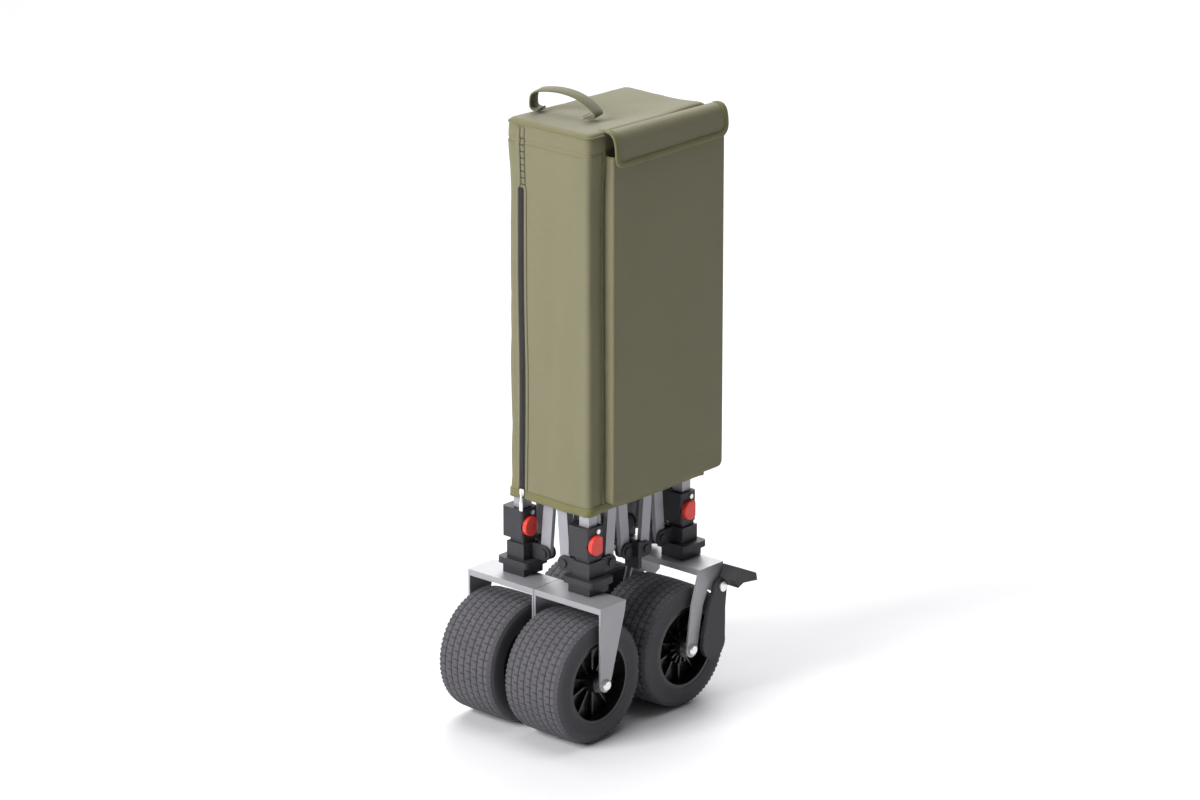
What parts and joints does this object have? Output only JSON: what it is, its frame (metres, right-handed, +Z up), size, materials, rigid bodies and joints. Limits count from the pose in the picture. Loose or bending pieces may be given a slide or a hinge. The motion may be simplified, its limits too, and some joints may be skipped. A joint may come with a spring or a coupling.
{
  "type": "folding camp wagon",
  "caption": "Folding camp wagon stood upright in its fabric cover on wide wheels, with scissor frame, casters, brakes, tow bar and board pocket.",
  "frame": {"origin": "on the ground under the middle of the bounding box of the folded wagon", "axes": "+Z up, +Y the way the wagon is pulled (caster and tow bar end), +X the side with the board pocket"},
  "size_m": [0.314, 0.382, 0.909],
  "materials": {
    "steel_tube": "satin silver paint",
    "fork_steel": "satin silver paint",
    "bar_metal": "satin anodised",
    "black_nylon": "moulded matte",
    "rim_plastic": "semi gloss",
    "tyre": "moulded tread",
    "bright_steel": "zinc plated",
    "button_red": "moulded gloss",
    "olive_fabric": "coated polyester weave",
    "dark_olive_board": "coated polyester over board",
    "webbing": "woven tape",
    "zip_black": "coil zip tape",
    "zip_metal": "die cast",
    "tow_metal": "grey anodised",
    "grip_rubber": "soft moulded",
    "tub_cloth": "polyester weave"
  },
  "bodies": {
    "rear_right_post": {"rear_right_base": "black_nylon", "rear_right_lower_tube": "steel_tube", "rear_right_fork": "fork_steel", "rear_right_axle": "bright_steel"},
    "rear_right_upper": {"rear_right_upper_post": "steel_tube"},
    "rear_right_wheel": {"rear_right_tyre": "tyre", "rear_right_rim": "rim_plastic"},
    "rear_right_button": {"rear_right_lock_button": "button_red"},
    "rear_left_post": {"rear_left_base": "black_nylon", "rear_left_lower_tube": "steel_tube", "rear_left_fork": "fork_steel", "rear_left_axle": "bright_steel"},
    "rear_left_upper": {"rear_left_upper_post": "steel_tube"},
    "rear_left_wheel": {"rear_left_tyre": "tyre", "rear_left_rim": "rim_plastic"},
    "rear_left_button": {"rear_left_lock_button": "button_red"},
    "front_right_post": {"front_right_base": "black_nylon", "front_right_lower_tube": "steel_tube"},
    "front_right_upper": {"front_right_upper_post": "steel_tube"},
    "front_right_wheel": {"front_right_tyre": "tyre", "front_right_rim": "rim_plastic"},
    "front_right_button": {"front_right_lock_button": "button_red"},
    "front_right_caster": {"front_right_fork": "fork_steel", "front_right_axle": "bright_steel"},
    "front_right_brake": {"front_right_brake_lever": "black_nylon"},
    "front_left_post": {"front_left_base": "black_nylon", "front_left_lower_tube": "steel_tube"},
    "front_left_upper": {"front_left_upper_post": "steel_tube"},
    "front_left_wheel": {"front_left_tyre": "tyre", "front_left_rim": "rim_plastic"},
    "front_left_button": {"front_left_lock_button": "button_red"},
    "front_left_caster": {"front_left_fork": "fork_steel", "front_left_axle": "bright_steel"},
    "front_left_brake": {"front_left_brake_lever": "black_nylon"},
    "rear_bar_a": {"rear_bar_a": "bar_metal"},
    "rear_bar_b": {"rear_bar_b": "bar_metal"},
    "front_bar_a": {"front_bar_a": "bar_metal"},
    "front_bar_b": {"front_bar_b": "bar_metal"},
    "right_bar_a": {"right_bar_a": "bar_metal"},
    "right_bar_b": {"right_bar_b": "bar_metal"},
    "right_bar_c": {"right_bar_c": "bar_metal"},
    "right_bar_d": {"right_bar_d": "bar_metal"},
    "right_mid_lower": {"right_mid_lower": "black_nylon", "tub_fabric": "tub_cloth"},
    "right_mid_upper": {"right_mid_upper": "black_nylon"},
    "left_bar_a": {"left_bar_a": "bar_metal"},
    "left_bar_b": {"left_bar_b": "bar_metal"},
    "left_bar_c": {"left_bar_c": "bar_metal"},
    "left_bar_d": {"left_bar_d": "bar_metal"},
    "left_mid_lower": {"left_mid_lower": "black_nylon"},
    "left_mid_upper": {"left_mid_upper": "black_nylon"},
    "tow_yoke": {"tow_yoke": "black_nylon"},
    "tow_bar": {"tow_bar": "tow_metal"},
    "tow_grip": {"tow_grip": "grip_rubber"},
    "cover": {"cover_shell": "olive_fabric", "carry_handle": "webbing", "zip_tape": "zip_black"},
    "pocket_flap": {"pocket_flap": "olive_fabric"},
    "zip_slider": {"zip_slider": "zip_metal"},
    "floor_board": {"floor_board": "dark_olive_board"}
  },
  "joints": [
    {"name": "fold", "type": "hinge", "parent": "rear_right_post", "child": "rear_bar_a", "pos_m": [0.024, -0.068, 0.24], "axis": [0, -1, 0], "range_deg": [0, 49.5], "deforming": ["cover_shell", "carry_handle", "zip_tape", "pocket_flap", "tub_fabric", "floor_board", "zip_slider"]},
    {"name": "rear_cross", "type": "hinge", "parent": "rear_bar_a", "child": "rear_bar_b", "pos_m": [0, -0.06, 0.51897], "axis": [0, -1, 0], "range_deg": [-99, 0]},
    {"name": "rear_left_foot", "type": "hinge", "parent": "rear_bar_b", "child": "rear_left_post", "pos_m": [-0.024, -0.057, 0.24], "axis": [0, -1, 0], "range_deg": [0, 49.5]},
    {"name": "rear_left_head", "type": "hinge", "parent": "rear_bar_a", "child": "rear_left_upper", "pos_m": [-0.024, -0.068, 0.79794], "axis": [0, -1, 0], "range_deg": [-49.5, 0]},
    {"name": "rear_right_head", "type": "hinge", "parent": "rear_bar_b", "child": "rear_right_upper", "pos_m": [0.024, -0.057, 0.79794], "axis": [0, -1, 0], "range_deg": [0, 49.5]},
    {"name": "right_rear_foot", "type": "hinge", "parent": "rear_right_post", "child": "right_bar_a", "pos_m": [0.06375, -0.028, 0.24], "axis": [-1, 0, 0], "range_deg": [0, 49.5]},
    {"name": "right_rear_cross", "type": "hinge", "parent": "right_bar_a", "child": "right_bar_b", "pos_m": [0.058, -0.004, 0.51897], "axis": [-1, 0, 0], "range_deg": [-99, 0]},
    {"name": "right_mid_foot", "type": "hinge", "parent": "right_bar_b", "child": "right_mid_lower", "pos_m": [0.05275, 0.02, 0.24], "axis": [-1, 0, 0], "range_deg": [0, 49.5]},
    {"name": "right_mid_head", "type": "hinge", "parent": "right_bar_a", "child": "right_mid_upper", "pos_m": [0.06375, 0.02, 0.79794], "axis": [-1, 0, 0], "range_deg": [-49.5, 0]},
    {"name": "right_mid_foot_front", "type": "hinge", "parent": "right_mid_lower", "child": "right_bar_c", "pos_m": [0.06375, 0.048, 0.24], "axis": [-1, 0, 0], "range_deg": [0, 49.5]},
    {"name": "right_front_cross", "type": "hinge", "parent": "right_bar_c", "child": "right_bar_d", "pos_m": [0.058, 0.072, 0.51897], "axis": [-1, 0, 0], "range_deg": [-99, 0]},
    {"name": "right_front_foot", "type": "hinge", "parent": "right_bar_d", "child": "front_right_post", "pos_m": [0.05275, 0.096, 0.24], "axis": [-1, 0, 0], "range_deg": [0, 49.5]},
    {"name": "right_front_head", "type": "hinge", "parent": "right_bar_c", "child": "front_right_upper", "pos_m": [0.06375, 0.096, 0.79794], "axis": [-1, 0, 0], "range_deg": [-49.5, 0]},
    {"name": "left_rear_foot", "type": "hinge", "parent": "rear_left_post", "child": "left_bar_a", "pos_m": [-0.06375, -0.028, 0.24], "axis": [-1, 0, 0], "range_deg": [0, 49.5]},
    {"name": "left_rear_cross", "type": "hinge", "parent": "left_bar_a", "child": "left_bar_b", "pos_m": [-0.058, -0.004, 0.51897], "axis": [-1, 0, 0], "range_deg": [-99, 0]},
    {"name": "left_mid_foot", "type": "hinge", "parent": "left_bar_b", "child": "left_mid_lower", "pos_m": [-0.05275, 0.02, 0.24], "axis": [-1, 0, 0], "range_deg": [0, 49.5]},
    {"name": "left_mid_head", "type": "hinge", "parent": "left_bar_a", "child": "left_mid_upper", "pos_m": [-0.06375, 0.02, 0.79794], "axis": [-1, 0, 0], "range_deg": [-49.5, 0]},
    {"name": "left_mid_foot_front", "type": "hinge", "parent": "left_mid_lower", "child": "left_bar_c", "pos_m": [-0.06375, 0.048, 0.24], "axis": [-1, 0, 0], "range_deg": [0, 49.5]},
    {"name": "left_front_cross", "type": "hinge", "parent": "left_bar_c", "child": "left_bar_d", "pos_m": [-0.058, 0.072, 0.51897], "axis": [-1, 0, 0], "range_deg": [-99, 0]},
    {"name": "left_front_foot", "type": "hinge", "parent": "left_bar_d", "child": "front_left_post", "pos_m": [-0.05275, 0.096, 0.24], "axis": [-1, 0, 0], "range_deg": [0, 49.5]},
    {"name": "left_front_head", "type": "hinge", "parent": "left_bar_c", "child": "front_left_upper", "pos_m": [-0.06375, 0.096, 0.79794], "axis": [-1, 0, 0], "range_deg": [-49.5, 0]},
    {"name": "front_foot", "type": "hinge", "parent": "front_right_post", "child": "front_bar_a", "pos_m": [0.024, 0.136, 0.24], "axis": [0, -1, 0], "range_deg": [0, 49.5]},
    {"name": "front_cross", "type": "hinge", "parent": "front_bar_a", "child": "front_bar_b", "pos_m": [0, 0.13, 0.51897], "axis": [0, -1, 0], "range_deg": [-99, 0]},
    {"name": "tow_hanger", "type": "hinge", "parent": "front_bar_a", "child": "tow_yoke", "pos_m": [0, 0.1455, 0.51897], "axis": [0, -1, 0], "range_deg": [-49.5, 0]},
    {"name": "tow_swing", "type": "hinge", "parent": "tow_yoke", "child": "tow_bar", "pos_m": [0, 0.134, 0.222], "axis": [-1, 0, 0], "range_deg": [0, 90]},
    {"name": "tow_telescope", "type": "slide", "parent": "tow_bar", "child": "tow_grip", "axis": [0, 0, 1], "range_m": [0, 0.24]},
    {"name": "rear_right_wheel_spin", "type": "hinge", "parent": "rear_right_post", "child": "rear_right_wheel", "pos_m": [0.063, -0.101, 0.09], "axis": [1, 0, 0], "continuous": true},
    {"name": "rear_right_lock_press", "type": "slide", "parent": "rear_right_post", "child": "rear_right_button", "axis": [-1, 0, 0], "range_m": [0, 0.0025], "stiffness_N_per_m": 800},
    {"name": "rear_left_wheel_spin", "type": "hinge", "parent": "rear_left_post", "child": "rear_left_wheel", "pos_m": [-0.063, -0.101, 0.09], "axis": [1, 0, 0], "continuous": true},
    {"name": "rear_left_lock_press", "type": "slide", "parent": "rear_left_post", "child": "rear_left_button", "axis": [-1, 0, 0], "range_m": [0, 0.0025], "stiffness_N_per_m": 800},
    {"name": "front_right_wheel_spin", "type": "hinge", "parent": "front_right_caster", "child": "front_right_wheel", "pos_m": [0.063, 0.085, 0.09], "axis": [1, 0, 0], "continuous": true},
    {"name": "front_right_lock_press", "type": "slide", "parent": "front_right_post", "child": "front_right_button", "axis": [-1, 0, 0], "range_m": [0, 0.0025], "stiffness_N_per_m": 800},
    {"name": "front_right_swivel", "type": "hinge", "parent": "front_right_post", "child": "front_right_caster", "pos_m": [0.062, 0.134, 0.205], "axis": [0, 0, 1], "range_deg": [0, 60]},
    {"name": "front_right_brake_pedal", "type": "hinge", "parent": "front_right_caster", "child": "front_right_brake", "pos_m": [0.13, 0.1405, 0.173], "axis": [-1, 0, 0], "range_deg": [0, 4]},
    {"name": "front_left_wheel_spin", "type": "hinge", "parent": "front_left_caster", "child": "front_left_wheel", "pos_m": [-0.063, 0.085, 0.09], "axis": [1, 0, 0], "continuous": true},
    {"name": "front_left_lock_press", "type": "slide", "parent": "front_left_post", "child": "front_left_button", "axis": [-1, 0, 0], "range_m": [0, 0.0025], "stiffness_N_per_m": 800},
    {"name": "front_left_swivel", "type": "hinge", "parent": "front_left_post", "child": "front_left_caster", "pos_m": [-0.062, 0.134, 0.205], "axis": [0, 0, 1], "range_deg": [-60, 0]},
    {"name": "front_left_brake_pedal", "type": "hinge", "parent": "front_left_caster", "child": "front_left_brake", "pos_m": [-0.13, 0.1405, 0.173], "axis": [-1, 0, 0], "range_deg": [0, 4]},
    {"name": "cover_lift", "type": "slide", "parent": "right_mid_upper", "child": "cover", "axis": [0, 0, -1], "range_m": [-0.62, 0]},
    {"name": "pocket_flap_lift", "type": "hinge", "parent": "cover", "child": "pocket_flap", "pos_m": [0.0744, 0.07, 0.867], "axis": [0, -1, 0], "range_deg": [0, 150]},
    {"name": "floor_board_slide", "type": "slide", "parent": "cover", "child": "floor_board", "axis": [0, 0, 1], "range_m": [0, 0.48]},
    {"name": "zip_open", "type": "slide", "parent": "cover", "child": "zip_slider", "axis": [0, 0, 1], "range_m": [0, 0.44]}
  ],
  "couplings": [
    {"joint": "rear_cross", "follows": "fold", "ratio": -2},
    {"joint": "rear_left_foot", "follows": "fold", "ratio": 1},
    {"joint": "rear_left_head", "follows": "fold", "ratio": -1},
    {"joint": "rear_right_head", "follows": "fold", "ratio": 1},
    {"joint": "right_rear_foot", "follows": "fold", "ratio": 1},
    {"joint": "right_rear_cross", "follows": "fold", "ratio": -2},
    {"joint": "right_mid_foot", "follows": "fold", "ratio": 1},
    {"joint": "right_mid_head", "follows": "fold", "ratio": -1},
    {"joint": "right_mid_foot_front", "follows": "fold", "ratio": 1},
    {"joint": "right_front_cross", "follows": "fold", "ratio": -2},
    {"joint": "right_front_foot", "follows": "fold", "ratio": 1},
    {"joint": "right_front_head", "follows": "fold", "ratio": -1},
    {"joint": "left_rear_foot", "follows": "fold", "ratio": 1},
    {"joint": "left_rear_cross", "follows": "fold", "ratio": -2},
    {"joint": "left_mid_foot", "follows": "fold", "ratio": 1},
    {"joint": "left_mid_head", "follows": "fold", "ratio": -1},
    {"joint": "left_mid_foot_front", "follows": "fold", "ratio": 1},
    {"joint": "left_front_cross", "follows": "fold", "ratio": -2},
    {"joint": "left_front_foot", "follows": "fold", "ratio": 1},
    {"joint": "left_front_head", "follows": "fold", "ratio": -1},
    {"joint": "front_foot", "follows": "fold", "ratio": 1},
    {"joint": "front_cross", "follows": "fold", "ratio": -2},
    {"joint": "tow_hanger", "follows": "fold", "ratio": -1}
  ]
}
